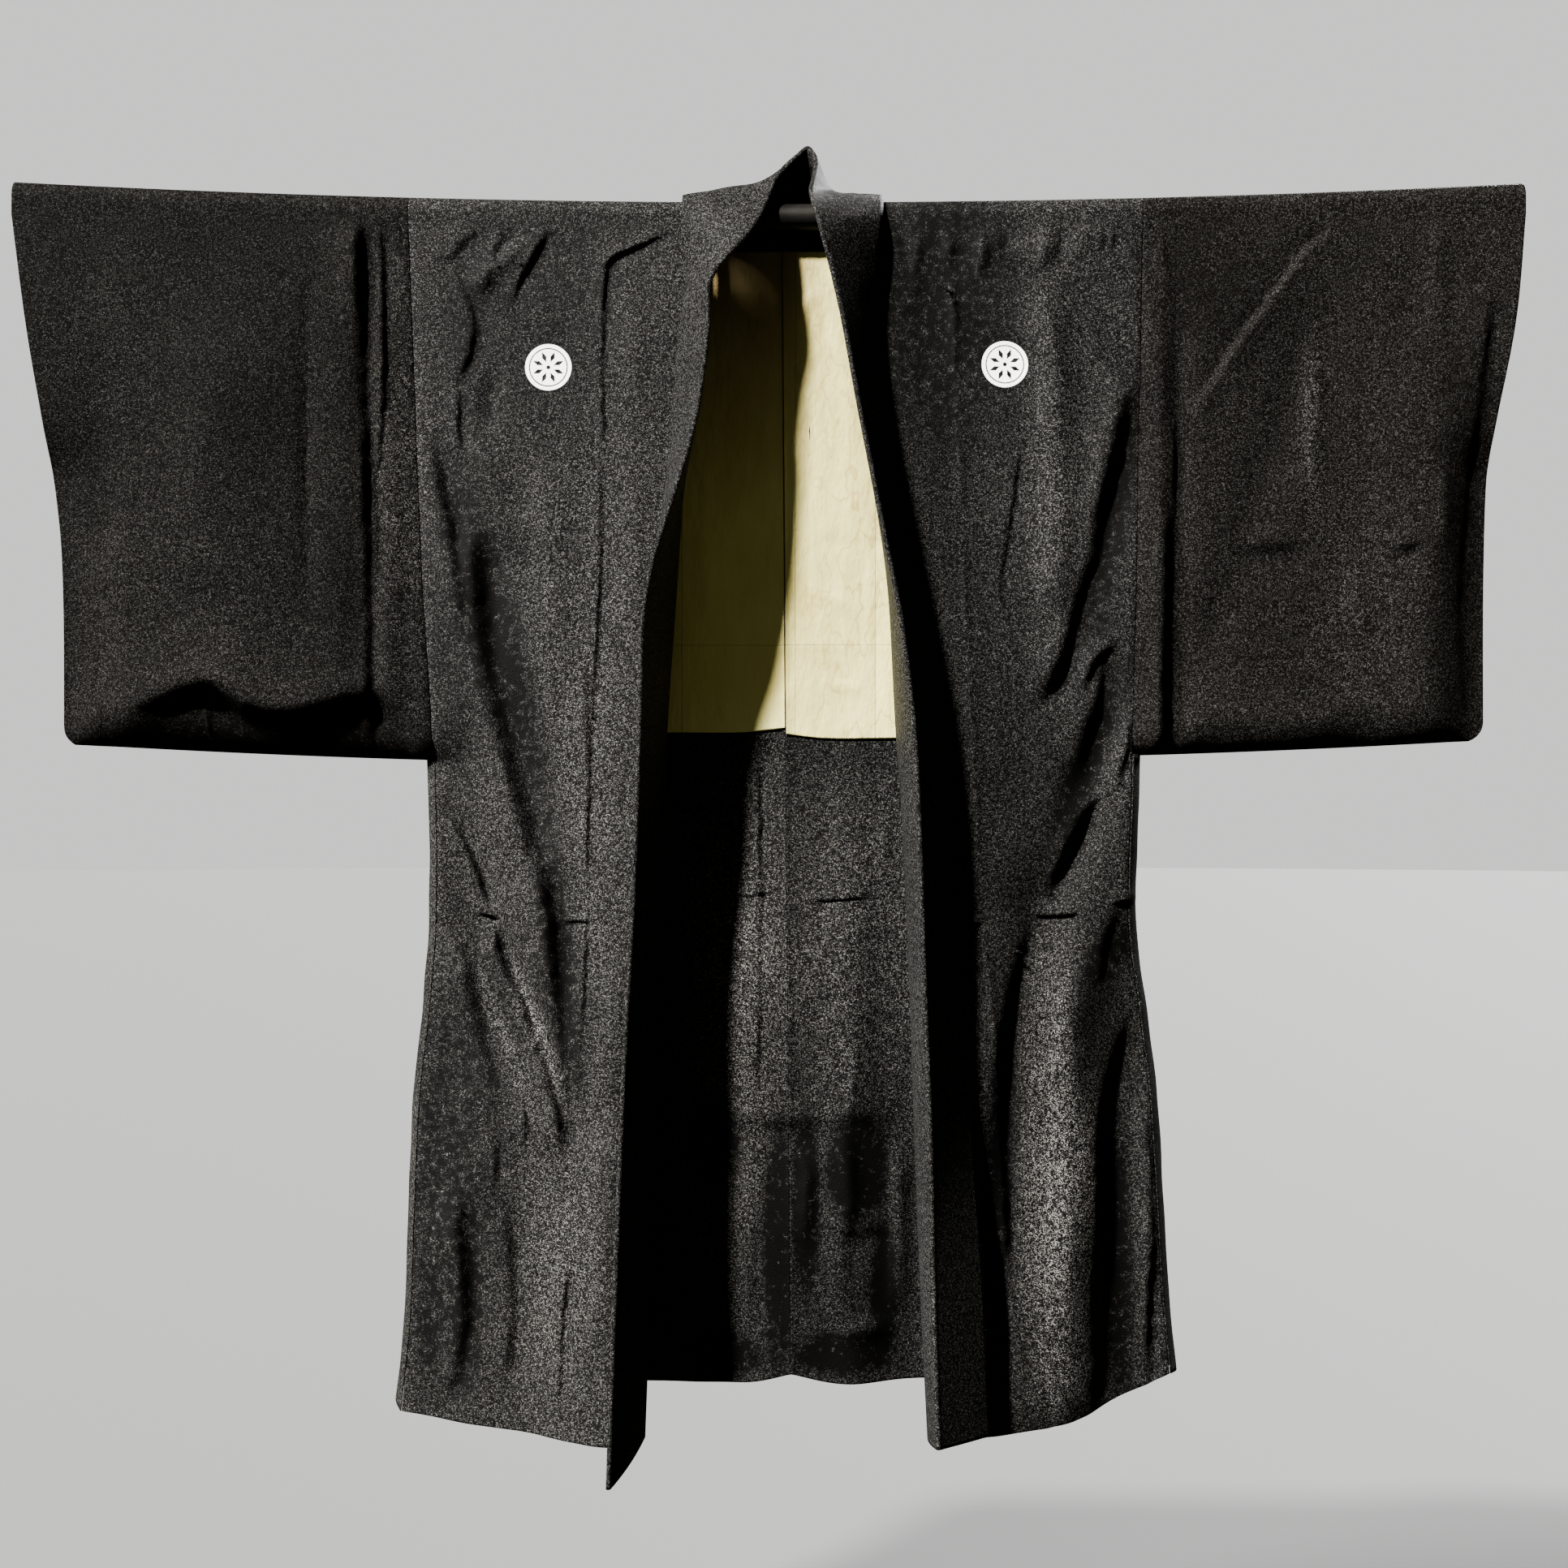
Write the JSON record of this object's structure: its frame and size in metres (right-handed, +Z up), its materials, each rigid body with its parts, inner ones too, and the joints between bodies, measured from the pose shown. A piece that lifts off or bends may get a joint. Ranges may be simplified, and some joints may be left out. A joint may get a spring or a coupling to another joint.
{
  "type": "haori jacket on a rod",
  "caption": "Black formal haori jacket hung open on a bowed rod through both sleeves, with a folded collar band, side gussets and a cream half lining.",
  "frame": {"origin": "the middle of the rod's axis, where the rod is held", "axes": "+X to the right of someone who faces the open front, along the rod; +Y away from them; +Z up"},
  "size_m": [1.239, 0.1683, 1.0693],
  "materials": {
    "black_silk": "matt crepe silk with a fine pale fleck and a soft sheen",
    "collar_silk": "matt crepe silk, doubled",
    "lining_silk": "smooth cream silk",
    "lacquered_rod": "dark satin lacquer"
  },
  "bodies": {
    "root": {"body_left": "black_silk", "body_right": "black_silk", "sleeve_left": "black_silk", "sleeve_right": "black_silk", "gusset_left": "black_silk", "gusset_right": "black_silk", "collar": "collar_silk", "lining_left": "lining_silk", "lining_right": "lining_silk", "rod": "lacquered_rod"}
  },
  "joints": []
}
